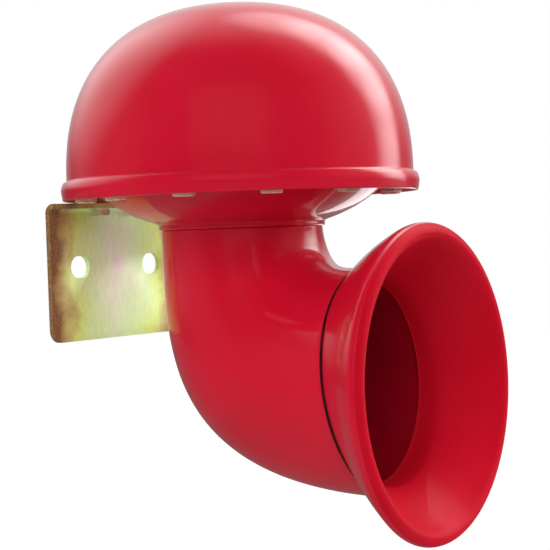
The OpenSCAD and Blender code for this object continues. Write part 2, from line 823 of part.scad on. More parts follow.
module ratchet_wheel() {
  hub_r = 6.2;
  color("slategray") from_wall() at_motor() difference() {
    union() {
      translate([0, 0, wheel_z]) cylinder(r = wheel_r, h = wheel_t - 1);
      translate([0, 0, wheel_z]) cylinder(r = hub_r, h = wheel_t + hub_h - 1);
      for (i = [0:tooth_count - 1]) rotate([0, 0, i * 360 / tooth_count]) face_tooth();
    }
    translate([0, 0, shaft_bottom]) cylinder(r = shaft_r + press_gap, h = 10);
    translate([0, 0, set_screw_z]) rotate([0, 90, 0]) cylinder(r = m3_r, h = 20, $fn = 32);
  }
}

module wheel_set_screw() {
  socket_r = 0.8;
  socket_depth = 1;
  color("dimgray") from_wall() at_motor() translate([shaft_r - shaft_flat + fit_gap, 0, set_screw_z])
    rotate([0, 90, 0]) difference() {
      cylinder(r = m3_r - 0.02, h = set_screw_len, $fn = 32);
      translate([0, 0, set_screw_len - socket_depth])
        cylinder(r = socket_r, h = socket_depth + cut, $fn = 6);
    }
}

// ---- Brush gear ----

// How far the cap screws stand inside the can's outside
cap_screw_in = 4.2;
// The peg that holds each brush holder to the card
peg_y = 12;
peg_r = 0.8;
peg_out = 0.6;

module card_screw_places() {
  on_circle(can_r - cap_screw_in, [0, 180]) children();
}

module brush_card() {
  color("saddlebrown") from_wall() at_motor() difference() {
    ring(can_r, commutator_r + 1.8, card_z, card_t);
    card_screw_places() translate([0, 0, card_z - cut])
      cylinder(r = m3_r + hole_gap, h = card_t + 2 * cut, $fn = 32);
    for (side = [-1, 1]) translate([0, side * peg_y, card_z - cut])
      cylinder(r = peg_r + fit_gap, h = card_t + 2 * cut, $fn = 24);
  }
}

// A brass box that guides one brush, closed at its outer end, with a peg through the card
module brush_holder() {
  inner_w = brush_w + 2 * fit_gap;
  inner_h = brush_h + 2 * fit_gap;
  box_w = inner_w + 2 * holder_wall;
  box_top = brush_z + inner_h / 2 + holder_wall;
  box_bottom = card_z + card_t;
  difference() {
    translate([-box_w / 2, holder_in, box_bottom])
      cube([box_w, holder_out - holder_in, box_top - box_bottom]);
    translate([-inner_w / 2, holder_in - cut, brush_z - inner_h / 2])
      cube([inner_w, holder_out - holder_in + cut - holder_wall, inner_h]);
  }
  translate([0, peg_y, card_z - peg_out]) cylinder(r = peg_r, h = card_t + peg_out + joined, $fn = 24);
}

module brush_holders() {
  color("gold") from_wall() at_motor() {
    brush_holder();
    rotate([0, 0, 180]) brush_holder();
  }
}

module brush() {
  translate([-brush_w / 2, brush_in, brush_z - brush_h / 2]) cube([brush_w, brush_len, brush_h]);
}

module brush_a() {
  color("black") from_wall() at_motor() brush();
}

module brush_b() {
  color("black") from_wall() at_motor() rotate([0, 0, 180]) brush();
}

// A coil spring between a brush and the closed end of its holder
module brush_spring() {
  start = brush_in + brush_len + spring_wire_r + fit_gap;
  end = holder_out - holder_wall - spring_wire_r - fit_gap;
  steps_per_turn = 16;
  steps = spring_turns * steps_per_turn;
  path = [for (i = [0:steps]) let (t = 360 * i / steps_per_turn)
    [spring_r * cos(t), start + (end - start) * i / steps, brush_z + spring_r * sin(t)]];
  swept_tube(path, spring_wire_r, [0, 1, 0]);
}

module brush_a_spring() {
  color("silver") from_wall() at_motor() brush_spring();
}

module brush_b_spring() {
  color("silver") from_wall() at_motor() rotate([0, 0, 180]) brush_spring();
}

module end_cap() {
  color("gray") from_wall() at_motor() difference() {
    union() {
      translate([0, 0, cap_z]) cylinder(r = can_r, h = cap_h);
      translate([0, 0, cap_top - joined]) cylinder(r = boss_r, h = boss_h + joined);
    }
    difference() {
      translate([0, 0, cap_z - cut]) cylinder(r = can_r - cap_wall, h = cap_h - cap_wall + cut);
      card_screw_places() translate([0, 0, cap_z - cut]) cylinder(r = lug_r, h = cap_h + cut);
      translate([0, 0, cap_top - cap_wall - upper_bush_h]) cylinder(r = bush_r + 1.6, h = cap_h);
    }
    translate([0, 0, cap_top - cap_wall - upper_bush_h - cut]) cylinder(r = seat_r, h = upper_bush_h + cut);
    translate([0, 0, cap_z]) cylinder(r = m5_r + fit_gap, h = cap_h + boss_h + cut);
    card_screw_places() translate([0, 0, cap_z - cut])
      cylinder(r = m3_r + hole_gap, h = cap_h + 2 * cut, $fn = 32);
    // Windows that let the leads out beside the brush holders
    for (side = [-1, 1]) translate([side * window_x, 0, window_z])
      rotate([-90, 0, 0]) cylinder(r = window_r, h = 30, $fn = 32);
  }
}

module cap_screws() {
  color("silver") from_wall() at_motor() card_screw_places() pan_screw(cap_top, card_z - 4);
}

module upper_bush() {
  color("peru") from_wall() at_motor()
    ring(bush_r, bore_r, cap_top - cap_wall - upper_bush_h, upper_bush_h - 2 * fit_gap);
}

// ---- Thrust adjuster ----

module thrust_pad() {
  color("goldenrod") from_wall() at_motor() translate([0, 0, pad_z]) cylinder(r = pad_r, h = pad_h);
}

module thrust_screw() {
  driver_slot_w = 1;
  driver_slot_depth = 1.2;
  color("silver") from_wall() at_motor() difference() {
    translate([0, 0, thrust_z]) cylinder(r = m5_r, h = thrust_screw_len);
    translate([-m5_r, -driver_slot_w / 2, thrust_z + thrust_screw_len - driver_slot_depth])
      cube([2 * m5_r, driver_slot_w, driver_slot_depth + cut]);
  }
}

module lock_nut() {
  color("goldenrod") from_wall() at_motor() translate([0, 0, cap_top + boss_h]) difference() {
    hex_prism(lock_nut_af, lock_nut_h);
    translate([0, 0, -cut]) cylinder(r = m5_r + fit_gap, h = lock_nut_h + 2 * cut);
  }
}

// ---- Terminals and leads ----

module tab_places() {
  for (side = [-1, 1]) translate([side * tab_offset, 0, terminal_z]) children();
}

// Holes for the two rivets that hold the terminal block to the dome
module rivet_holes() {
  for (side = [-1, 1]) translate([side * rivet_x, side_cut_y, terminal_z])
    rotate([-90, 0, 0]) cylinder(r = rivet_r + fit_gap, h = side_cut_len, $fn = 24);
}

// The moulded block: a plug through the dome's wall behind a face plate
module terminal_block() {
  plug_depth = 8;
  plate_depth = 6;
  color("black") from_wall() difference() {
    union() {
      translate([-block_plug_w / 2, dome_r - plug_depth, terminal_z - block_plug_h / 2])
        cube([block_plug_w, plug_depth, block_plug_h]);
      // The face plate's back is hollowed to sit on the dome
      difference() {
        translate([-block_w / 2, dome_r - plate_depth, terminal_z - block_h / 2])
          cube([block_w, plate_depth + plate_t, block_h]);
        rotate_extrude()
          polygon(concat([[0, 0], [dome_r + fit_gap, 0]], dome_curve(dome_r + fit_gap, dome_h, 32)));
      }
    }
    tab_places() translate([-tab_w / 2, side_cut_y, -tab_t / 2]) cube([tab_w, side_cut_len, tab_t]);
    rivet_holes();
  }
}

module terminal_tabs() {
  color("gold") from_wall() tab_places()
    translate([-tab_w / 2 + fit_gap, tab_in_y, -tab_t / 2 + fit_gap / 2])
      cube([tab_w - 2 * fit_gap, tab_len, tab_t - fit_gap]);
}

module block_rivets() {
  reach_in = 5;
  color("silver") from_wall() for (side = [-1, 1])
    translate([side * rivet_x, 0, terminal_z]) rotate([-90, 0, 0]) {
      translate([0, 0, dome_r - reach_in]) cylinder(r = rivet_r, h = reach_in + plate_t + joined, $fn = 24);
      translate([0, 0, dome_r + plate_t]) cylinder(r = rivet_head_r, h = rivet_head_h, $fn = 24);
    }
}

// A radio-suppression capacitor that stands on the bridge beside the motor
module capacitor() {
  body_x = 28;
  body_r = 6;
  body_h = 16;
  pin_r = 1;
  pin_h = 3;
  color("royalblue") from_wall() translate([body_x, 0, can_z]) union() {
    cylinder(r = body_r, h = body_h);
    translate([0, 0, body_h - joined]) cylinder(r = pin_r, h = pin_h);
  }
}

// A flexible lead from its brush holder, out through a window in the end cap and over to its terminal tab
module lead(side, from_holder) {
  inside = [side * window_x, can_r - 6, window_z];
  outside = [motor_x + side * window_x, can_r + 4, window_z];
  tab = [side * tab_offset, tab_in_y - lead_r - fit_gap, terminal_z];
  leave = [0, 12, 0];
  arrive = [0, -9, 16];
  steps = 18;
  path = concat([for (p = concat(from_holder, [inside])) p + [motor_x, 0, 0]],
    [for (i = [0:steps]) cubic(outside, outside + leave, tab + arrive, tab, i / steps)]);
  swept_tube(path, lead_r, [1, 0, 1], 12);
}

module motor_leads() {
  beside_holder = brush_w / 2 + holder_wall + lead_r + 2 * fit_gap;
  round_r = 13;
  color("maroon") from_wall() {
    lead(1, [[beside_holder, peg_y, window_z]]);
    // The second lead runs round the commutator from the far brush holder
    lead(-1, [for (a = [255:-15:135]) [round_r * cos(a), round_r * sin(a), window_z]]);
  }
}

// ---- Draw the chosen node, or all of them ----

dome_cover();
cover_ring();
captive_nuts();
diaphragm_housing();
elbow();
bell();
bracket();
bracket_spacers();
bracket_screws();
rim_screws();
lower_gasket();
diaphragm();
upper_gasket();
chassis_ring();
anvil_stud();
anvil_washers();
anvil_nut();
motor_bridge();
bridge_screws();
can_screws();
lower_bush();
motor_can();
magnets();
armature_shaft();
armature_core();
armature_windings();
commutator();
ratchet_wheel();
wheel_set_screw();
brush_card();
brush_holders();
brush_a();
brush_b();
brush_a_spring();
brush_b_spring();
end_cap();
cap_screws();
upper_bush();
thrust_screw();
thrust_pad();
lock_nut();
terminal_block();
terminal_tabs();
block_rivets();
capacitor();
motor_leads();
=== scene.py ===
"""Looks of the motor-driven diaphragm horn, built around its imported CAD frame.

Metres, +Z up. The bell faces +X and the bracket's wall face is at X = 0.
"""

import json
import math

import bmesh
import bpy
from mathutils import Matrix, Vector


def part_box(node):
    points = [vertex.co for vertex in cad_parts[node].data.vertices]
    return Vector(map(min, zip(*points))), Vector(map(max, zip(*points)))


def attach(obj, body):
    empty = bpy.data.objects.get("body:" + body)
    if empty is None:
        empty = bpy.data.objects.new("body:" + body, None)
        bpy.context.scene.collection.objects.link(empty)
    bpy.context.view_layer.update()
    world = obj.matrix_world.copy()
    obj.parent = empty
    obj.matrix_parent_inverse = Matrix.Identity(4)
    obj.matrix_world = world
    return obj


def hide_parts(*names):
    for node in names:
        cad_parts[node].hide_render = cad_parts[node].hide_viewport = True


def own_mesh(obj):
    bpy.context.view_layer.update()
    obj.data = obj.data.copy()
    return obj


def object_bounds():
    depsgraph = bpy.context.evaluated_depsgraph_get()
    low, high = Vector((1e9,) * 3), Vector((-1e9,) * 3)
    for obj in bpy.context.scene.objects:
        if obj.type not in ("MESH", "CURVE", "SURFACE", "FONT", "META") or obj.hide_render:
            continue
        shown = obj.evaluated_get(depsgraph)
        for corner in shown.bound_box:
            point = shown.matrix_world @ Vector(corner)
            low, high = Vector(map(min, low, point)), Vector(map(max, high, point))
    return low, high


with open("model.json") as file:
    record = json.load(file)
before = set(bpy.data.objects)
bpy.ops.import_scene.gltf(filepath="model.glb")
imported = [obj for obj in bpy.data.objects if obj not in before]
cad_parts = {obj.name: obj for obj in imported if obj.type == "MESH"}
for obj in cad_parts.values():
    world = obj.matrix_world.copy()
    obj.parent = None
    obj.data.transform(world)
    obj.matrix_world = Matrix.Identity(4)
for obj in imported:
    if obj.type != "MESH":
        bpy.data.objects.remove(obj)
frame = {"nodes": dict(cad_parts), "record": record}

cad_box = [list(corner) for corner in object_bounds()]

MM = 0.001
BODY = "horn"


# ---- Places and sizes from the frame ----

dome_low, dome_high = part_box("dome_cover")
housing_low, housing_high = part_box("diaphragm_housing")
bracket_low, bracket_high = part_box("bracket")
cover_ring_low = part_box("cover_ring")[0]

# The dome's axis at the level of its bottom edge: all lengths below are in millimetres from here
DOME = Vector(((dome_low.x + dome_high.x) / 2, 0, dome_low.z))
RIM_R = (dome_high.y - dome_low.y) / 2 / MM
DOME_TOP = (dome_high.z - dome_low.z) / MM
LEDGE = (cover_ring_low.z - DOME.z) / MM
FLANGE_R = (housing_high.y - housing_low.y) / 2 / MM
FLANGE_TOP = (housing_high.z - DOME.z) / MM
COLLAR_Z = (housing_low.z - DOME.z) / MM

# Dome
WALL_R = 64.8
RIM_TOP = 6.9
SHEET = 1.2
DOME_POWER = 2.37
BLOCK_OPENING = Vector((10.05, 25, 3.55))  # half sizes of the opening for the terminal block
BLOCK_Y = 65
RIVET_HOLE_R = 1.05
RIVET_R = 1.5

# Diaphragm housing
BOWL_R = 53.0
COLLAR_R = 30.9
SPIGOT_R = 29.4
SPIGOT_H = 5.0
FLANGE_LOW = 2.0

# Elbow and bell, in the plane of the bend
ELBOW_IN_R = 30.2
ELBOW_OUT_R = 41.3
ELBOW_WALL = 2.2
OUTLET_X = 58.9
OUTLET_Z = -68.4
OUTLET_LEAN = math.radians(7.3)
# How far each side of the bend runs straight on from its inlet and into its outlet before it turns
SHORT_PULL_IN = 3
SHORT_PULL_OUT = 27.6
LONG_PULL_IN = 59.4
LONG_PULL_OUT = 79.7
MOUTH_X = 78.6
MOUTH_Z = -68.9
MOUTH_R = 56.6
MOUTH_LEAN = math.radians(1.3)
LIP_R = 3.2
LIP_START = math.radians(31)
LIP_END = math.radians(137)
FUNNEL_POWER = 1.3

# Rim screws
SCREW_CIRCLE_R = 58.0
SCREW_COUNT = 12
SCREW_HOLE_R = 2.2

# Bracket
BRACKET_T = 2.0
BEND_R = 1.5
CORNER_R = 5.0
SHELF_CORNER = 11.0
SLOT_SPACING = 44.0
SLOT_W = 8.5
SLOT_LEN = 11.0


# ---- Mesh helpers ----

def place(x, y, z):
    """A point given in millimetres from the dome's axis and bottom edge, in the row frame."""
    return DOME + Vector((x, y, z)) * MM


def new_object(name, points, faces, sharp_deg=40):
    mesh = bpy.data.meshes.new(name)
    mesh.from_pydata(points, [], faces)
    tidy = bmesh.new()
    tidy.from_mesh(mesh)
    bmesh.ops.recalc_face_normals(tidy, faces=tidy.faces)
    tidy.to_mesh(mesh)
    tidy.free()
    smooth(mesh, sharp_deg)
    obj = bpy.data.objects.new(name, mesh)
    bpy.context.scene.collection.objects.link(obj)
    return obj


def smooth(mesh, sharp_deg=40):
    mesh.polygons.foreach_set("use_smooth", [True] * len(mesh.polygons))
    mesh.set_sharp_from_angle(angle=math.radians(sharp_deg))


def revolve(name, profile, steps=192, sharp_deg=40):
    """Turns a closed profile of (radius, height) about the dome's axis.

    A point on the axis becomes a single point.
    """
    points, rings = [], []
    for r, z in profile:
        if r < 1e-6:
            rings.append([len(points)] * steps)
            points.append(place(0, 0, z))
            continue
        rings.append(list(range(len(points), len(points) + steps)))
        for k in range(steps):
            t = 2 * math.pi * k / steps
            points.append(place(r * math.cos(t), r * math.sin(t), z))
    faces = []
    for i, ring in enumerate(rings):
        other = rings[(i + 1) % len(rings)]
        if ring[0] == ring[1] and other[0] == other[1]:
            continue
        for k in range(steps):
            n = (k + 1) % steps
            corners = [ring[k], ring[n], other[n], other[k]]
            faces.append(list(dict.fromkeys(corners)))
    return new_object(name, points, faces, sharp_deg)


def skin(name, rings, sharp_deg=40):
    """Joins a loop of rings, each with the same number of points, into one closed surface."""
    sides = len(rings[0])
    points = [p for ring in rings for p in ring]
    faces = []
    for i in range(len(rings)):
        a, b = i * sides, ((i + 1) % len(rings)) * sides
        for k in range(sides):
            n = (k + 1) % sides
            faces.append([a + k, a + n, b + n, b + k])
    return new_object(name, points, faces, sharp_deg)


def round_off(points, passes=2):
    """Cuts the corners of an open line of points, keeping its two ends."""
    for _ in range(passes):
        cut = [points[0]]
        for (ax, ay), (bx, by) in zip(points, points[1:]):
            cut.append((0.75 * ax + 0.25 * bx, 0.75 * ay + 0.25 * by))
            cut.append((0.25 * ax + 0.75 * bx, 0.25 * ay + 0.75 * by))
        points = cut + [points[-1]]
    return points


def bake(obj, kind, **settings):
    """Adds a modifier and applies it to the mesh."""
    modifier = obj.modifiers.new(kind, kind)
    for key, value in settings.items():
        setattr(modifier, key, value)
    graph = bpy.context.evaluated_depsgraph_get()
    mesh = bpy.data.meshes.new_from_object(obj.evaluated_get(graph))
    obj.modifiers.clear()
    obj.data = mesh


def cylinder_cutter(centre, axis, radius, length, sides=48):
    """A cylinder through centre along axis, all in metres, to cut with."""
    turn = Vector((0, 0, 1)).rotation_difference(Vector(axis)).to_matrix().to_4x4()
    points, faces = [], []
    for end in (-0.5, 0.5):
        for k in range(sides):
            t = 2 * math.pi * k / sides
            spot = Vector((radius * math.cos(t), radius * math.sin(t), end * length))
            points.append(Vector(centre) + turn @ spot)
    for k in range(sides):
        n = (k + 1) % sides
        faces.append([k, n, sides + n, sides + k])
    faces.append(list(range(sides))[::-1])
    faces.append(list(range(sides, 2 * sides)))
    return points, faces


def box_cutter(low, high):
    (x0, y0, z0), (x1, y1, z1) = low, high
    points = [Vector((x, y, z)) for x in (x0, x1) for y in (y0, y1) for z in (z0, z1)]
    faces = [[0, 1, 3, 2], [4, 6, 7, 5], [0, 4, 5, 1], [2, 3, 7, 6], [0, 2, 6, 4], [1, 5, 7, 3]]
    return points, faces


def cut_away(obj, cutters):
    """Cuts a list of (points, faces) solids out of obj."""
    points, faces = [], []
    for more_points, more_faces in cutters:
        base = len(points)
        points += more_points
        faces += [[base + i for i in face] for face in more_faces]
    tool = new_object("cutter", points, faces)
    bake(obj, "BOOLEAN", object=tool, operation="DIFFERENCE", solver="EXACT")
    bpy.data.objects.remove(tool)


def screw_places(angles):
    for angle in angles:
        t = math.radians(angle)
        yield SCREW_CIRCLE_R * math.cos(t), SCREW_CIRCLE_R * math.sin(t)


# ---- Dome, housing, elbow, bell ----

def superellipse(radius, height, base, steps):
    """The dome's outline from its foot to its top."""
    outline = []
    for i in range(steps + 1):
        t = math.pi / 2 * i / steps
        r = radius * max(math.cos(t), 0) ** (2 / DOME_POWER)
        outline.append((r if i < steps else 0, base + height * math.sin(t) ** (2 / DOME_POWER)))
    return outline


def make_dome():
    height = DOME_TOP - RIM_TOP
    outer = superellipse(WALL_R, height, RIM_TOP, 72)
    inner = superellipse(WALL_R - SHEET, height - SHEET, RIM_TOP, 72)
    # Rolled lower edge, band, a narrow crest and the step in to the wall
    rim = round_off([
        (RIM_R - 1.7, 1.6), (RIM_R - 1.8, 0.5), (RIM_R - 1.3, 0.0), (RIM_R - 0.6, 0.1), (RIM_R - 0.4, 1.2),
        (RIM_R - 0.1, 3.0), (RIM_R, 4.2), (RIM_R - 0.35, 5.6), (RIM_R - 0.7, 6.3), (RIM_R - 1.0, 6.85),
        (RIM_R - 1.6, 7.1), (WALL_R + 0.05, 7.2), (WALL_R, 8.6),
    ], 3)
    wall = [point for point in outer if point[1] > 9.2]
    inside = [point for point in reversed(inner) if point[1] > RIM_TOP + 0.5]
    ledge = [(WALL_R - SHEET, LEDGE), (FLANGE_R + 0.15, LEDGE), (RIM_R - SHEET - 0.2, 3.5)]
    dome = revolve("dome_shell", rim + wall + inside + ledge, 256, 50)
    block_low, block_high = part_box("terminal_block")
    rivet_low, rivet_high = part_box("block_rivets")
    mid_z = (block_low.z + block_high.z) / 2
    middle = Vector((DOME.x, BLOCK_Y * MM, mid_z))
    opening = box_cutter(middle - BLOCK_OPENING * MM, middle + BLOCK_OPENING * MM)
    holes = [
        cylinder_cutter((x, BLOCK_Y * MM, mid_z), (0, 1, 0), RIVET_HOLE_R * MM, 30 * MM)
        for x in (rivet_low.x + RIVET_R * MM, rivet_high.x - RIVET_R * MM)
    ]
    cut_away(dome, [opening] + holes)
    smooth(dome.data, 50)
    return dome


def make_housing():
    depth = FLANGE_LOW - COLLAR_Z
    run = BOWL_R - COLLAR_R
    # The bowl's outline, as parts of its run inwards and of its depth
    bowl = [
        (0, 0), (0.05, 0.05), (0.2, 0.25), (0.4, 0.46),
        (0.6, 0.62), (0.8, 0.75), (0.94, 0.82), (0.985, 0.86),
    ]
    outside = round_off([(BOWL_R - a * run, FLANGE_LOW - b * depth) for a, b in bowl], 3)
    collar = round_off([
        outside[-1], (COLLAR_R + 0.25, COLLAR_Z + 1.5), (COLLAR_R + 0.25, COLLAR_Z + 0.35),
        (COLLAR_R - 0.1, COLLAR_Z), (SPIGOT_R + 0.4, COLLAR_Z),
    ], 2)
    inner_r = SPIGOT_R + 0.05
    inside = [(inner_r, COLLAR_Z + 0.2), (inner_r, COLLAR_Z + SPIGOT_H)]
    inside += [
        (r - 0.4, z + SHEET + 0.3) for r, z in reversed(outside) if inner_r + 2.5 < r < BOWL_R - 2.5
    ]
    inside.append((BOWL_R - 1.6, FLANGE_TOP))
    flange = [
        (FLANGE_R - 0.2, FLANGE_TOP), (FLANGE_R, FLANGE_TOP - 0.2),
        (FLANGE_R, FLANGE_LOW + 0.2), (FLANGE_R - 0.2, FLANGE_LOW),
    ]
    housing = revolve("housing_shell", flange + outside + collar + inside, 192, 40)
    angles = [(i + 0.5) * 360 / SCREW_COUNT for i in range(SCREW_COUNT)]
    holes = [
        cylinder_cutter(place(x, y, 2.5), (0, 0, 1), SCREW_HOLE_R * MM, 4 * MM, 24)
        for x, y in screw_places(angles)
    ]
    cut_away(housing, holes)
    smooth(housing.data, 40)
    return housing


def cubic(a, b, c, d, u):
    return a * (1 - u) ** 3 + b * 3 * u * (1 - u) ** 2 + c * 3 * u * u * (1 - u) + d * u ** 3


def cross_ring(middle, across, r, sides):
    """A ring across the bend. middle and across are (x, z) in the plane of the bend."""
    ring = []
    for k in range(sides):
        t = 2 * math.pi * k / sides
        x = middle.x + r * math.cos(t) * across.x
        z = middle.y + r * math.cos(t) * across.y
        ring.append(place(x, r * math.sin(t), z))
    return ring


OUTLET = Vector((OUTLET_X, OUTLET_Z))
OUTLET_ACROSS = Vector((-math.sin(OUTLET_LEAN), math.cos(OUTLET_LEAN)))
OUTLET_TOP = OUTLET + ELBOW_OUT_R * OUTLET_ACROSS
OUTLET_BOTTOM = OUTLET - ELBOW_OUT_R * OUTLET_ACROSS


def elbow_ring(u, inset, sides):
    """The elbow's section at u, from 0 at the inlet to 1 at the outlet, made smaller by inset."""
    start = Vector((ELBOW_IN_R, COLLAR_Z))
    far_start = Vector((-ELBOW_IN_R, COLLAR_Z))
    short = cubic(
        start, start - Vector((0, SHORT_PULL_IN)), OUTLET_TOP - Vector((SHORT_PULL_OUT, SHORT_PULL_IN)),
        OUTLET_TOP, u,
    )
    long = cubic(
        far_start, far_start - Vector((0, LONG_PULL_IN)), OUTLET_BOTTOM - Vector((LONG_PULL_OUT, 0)),
        OUTLET_BOTTOM, u,
    )
    half = (short - long) / 2
    return cross_ring((short + long) / 2, half.normalized(), half.length - inset, sides)


def make_elbow():
    sides, steps = 160, 90
    inlet = Vector((0, COLLAR_Z))
    level = Vector((1, 0))
    top = inlet + Vector((0, SPIGOT_H))
    edge = Vector((0, 0.35))
    rings = [cross_ring(top, level, SPIGOT_R, sides), cross_ring(inlet, level, SPIGOT_R, sides)]
    rings.append(cross_ring(inlet, level, ELBOW_IN_R - 0.45, sides))
    rings.append(cross_ring(inlet - edge, level, ELBOW_IN_R - 0.08, sides))
    rings += [elbow_ring(i / steps, 0, sides) for i in range(2, steps)]
    rings += [elbow_ring(1 - 0.35 / steps, 0.05, sides), elbow_ring(1, 0.4, sides)]
    rings += [elbow_ring(i / steps, ELBOW_WALL, sides) for i in range(steps, 0, -1)]
    rings.append(cross_ring(inlet, level, ELBOW_IN_R - ELBOW_WALL, sides))
    rings.append(cross_ring(top, level, ELBOW_IN_R - ELBOW_WALL, sides))
    elbow = skin("elbow_tube", rings, 35)
    inside_start = len(rings) - steps - 2
    # The inner faces take the throat's darker red, painted shade of the deep bend.
    for face in elbow.data.polygons[inside_start * sides:]:
        face.material_index = 1
    # The outlet's end faces take the seam's near-black colour, painted shade in the joint.
    for face in elbow.data.polygons[(inside_start - 2) * sides:inside_start * sides]:
        face.material_index = 2
    return elbow


def bell_ring(along, r, sides):
    """A ring of the bell, along millimetres past the elbow's outlet.

    The lean goes from the outlet's to the mouth's, and then stays.
    """
    v = along / (MOUTH_X - OUTLET_X)
    middle = OUTLET.lerp(Vector((MOUTH_X, MOUTH_Z)), v)
    lean = OUTLET_LEAN + (MOUTH_LEAN - OUTLET_LEAN) * min(v, 1)
    return cross_ring(middle, Vector((-math.sin(lean), math.cos(lean))), r, sides)


def make_bell():
    """Spigot, flare, the round lip it runs into without a crease, and the funnel inside.

    The material indices are 0 for the paint, 1 for the inside and 2 for the painted shade of the seam.
    """
    sides, steps = 192, 28
    depth, gap, spigot_wall = 0.04, ELBOW_WALL + 0.2, 1.4
    length = MOUTH_X - OUTLET_X
    start_r = ELBOW_OUT_R + 0.2
    throat_r = ELBOW_OUT_R - gap - spigot_wall

    def lip_point(turn):
        return length + LIP_R * math.sin(turn), MOUTH_R - LIP_R * (1 - math.cos(turn))

    foot, root = (1.15, start_r + 0.6), lip_point(-LIP_START)
    run, rise = root[0] - foot[0], root[1] - foot[1]
    swell = 1 - math.tan(LIP_START) * run / rise
    profile = [(0.45, start_r - 1.4), (0.5, start_r - 0.35), (0.75, start_r + 0.2)]
    for i in range(steps + 1):
        t = i / steps
        profile.append((foot[0] + run * t, foot[1] + rise * (t + swell * t * (1 - t))))
    lip_steps, inner_lip_steps = 20, 14
    turns = [(LIP_START + LIP_END) * i / lip_steps - LIP_START for i in range(1, lip_steps + 1)]
    profile += [lip_point(turn) for turn in turns]
    edge = profile[-1]
    inside_start = 2 + len(profile) - inner_lip_steps
    for i in range(1, steps + 1):
        t = 1 - i / steps
        profile.append((edge[0] * t + 0.05, throat_r + (edge[1] - throat_r) * t ** FUNNEL_POWER))
    rings = [elbow_ring(1 - depth, gap, sides), elbow_ring(1, gap, sides)]
    rings += [bell_ring(along, r, sides) for along, r in profile]
    rings += [elbow_ring(1 - depth * k / 4, gap + spigot_wall, sides) for k in range(1, 4)]
    rings += [elbow_ring(1 - depth, gap + spigot_wall, sides)]
    bell = skin("bell_flare", rings, 35)
    for face in bell.data.polygons[inside_start * sides:]:
        face.material_index = 1
    # The foot's groove takes the seam's near-black colour, painted shade in the joint.
    for face in bell.data.polygons[sides:3 * sides]:
        face.material_index = 2
    return bell


# ---- Bracket ----

def bracket_section():
    """The L-shaped section in x and z: plate, bend and shelf, in metres."""
    top, bottom = bracket_high.z, bracket_low.z
    back, front = bracket_low.x, bracket_high.x
    thick, inner, outer = BRACKET_T * MM, BEND_R * MM, (BEND_R + BRACKET_T) * MM
    centre = Vector((back + outer, top - outer))
    outline = [(back, bottom)]
    for i in range(13):
        t = math.pi - math.pi / 2 * i / 12
        outline.append((centre.x + outer * math.cos(t), centre.y + outer * math.sin(t)))
    outline += [(front, top), (front, top - thick)]
    for i in range(13):
        t = math.pi / 2 + math.pi / 2 * i / 12
        outline.append((centre.x + inner * math.cos(t), centre.y + inner * math.sin(t)))
    outline.append((back + thick, bottom))
    return outline


def corner_cutter(side):
    """What is cut off one lower corner of the plate to round it."""
    low_y = bracket_low.y if side < 0 else bracket_high.y
    centre = Vector((low_y - side * CORNER_R * MM, bracket_low.z + CORNER_R * MM))
    over = CORNER_R * MM + 2 * MM
    out_y, down_z = centre.x + side * over, centre.y - over
    outline = [(centre.x, down_z), (out_y, down_z), (out_y, centre.y)]
    radius = CORNER_R * MM
    for i in range(13):
        t = math.pi / 2 * i / 12
        outline.append((centre.x + side * radius * math.cos(t), centre.y - radius * math.sin(t)))
    points, n = [], len(outline)
    for x in (bracket_low.x - MM, bracket_low.x + 4 * MM):
        points += [Vector((x, y, z)) for y, z in outline]
    faces = [[k, (k + 1) % n, n + (k + 1) % n, n + k] for k in range(n)]
    faces += [list(range(n))[::-1], list(range(n, 2 * n))]
    return points, faces


def shelf_corner_cutter(side):
    """What is cut off one front corner of the shelf, at 45 degrees."""
    reach = SHELF_CORNER / math.sqrt(2) * MM
    x, y = bracket_high.x, bracket_low.y if side < 0 else bracket_high.y
    over = 2 * MM
    out_x, out_y = x + over, y + side * over
    corners = [(x - reach - over, out_y), (out_x, y - side * (reach + over)), (out_x, out_y)]
    levels = (bracket_high.z - 8 * MM, bracket_high.z + over)
    points = [Vector((a, b, z)) for z in levels for a, b in corners]
    return points, [[2, 1, 0], [3, 4, 5], [0, 1, 4, 3], [1, 2, 5, 4], [2, 0, 3, 5]]


def slot_cutters():
    """A level slot each side of the plate's middle, as two round ends and the run between them."""
    reach = (SLOT_LEN - SLOT_W) / 2 * MM
    radius = SLOT_W / 2 * MM
    sides = 48
    for side in (-1, 1):
        middle_y = side * SLOT_SPACING / 2 * MM
        outline = []
        for k in range(sides):
            t = 2 * math.pi * k / sides
            shift = reach if math.cos(t) >= 0 else -reach
            outline.append((middle_y + shift + radius * math.cos(t), radius * math.sin(t)))
        points = [Vector((x, y, z)) for x in (-5 * MM, 5 * MM) for y, z in outline]
        faces = [[k, (k + 1) % sides, sides + (k + 1) % sides, sides + k] for k in range(sides)]
        faces += [list(range(sides))[::-1], list(range(sides, 2 * sides))]
        yield points, faces


def make_bracket():
    section = bracket_section()
    n = len(section)
    points = [Vector((x, y, z)) for y in (bracket_low.y, bracket_high.y) for x, z in section]
    faces = [[k, (k + 1) % n, n + (k + 1) % n, n + k] for k in range(n)]
    faces += [list(range(n)), list(range(n, 2 * n))[::-1]]
    bracket = new_object("bracket_plate", points, faces)
    half_step = 180 / SCREW_COUNT
    holes = [
        cylinder_cutter(place(x, y, -1.3), (0, 0, 1), SCREW_HOLE_R * MM, 5 * MM, 32)
        for x, y in screw_places((180 - half_step, 180 + half_step))
    ]
    corners = [corner_cutter(-1), corner_cutter(1), shelf_corner_cutter(-1), shelf_corner_cutter(1)]
    cut_away(bracket, list(slot_cutters()) + holes + corners)
    bake(bracket, "BEVEL", width=0.3 * MM, segments=3, limit_method="ANGLE", angle_limit=math.radians(40))
    smooth(bracket.data, 35)
    return bracket


# ---- Brush springs ----

SPRING_WIRE_R = 0.25
SPRING_TURNS = 5


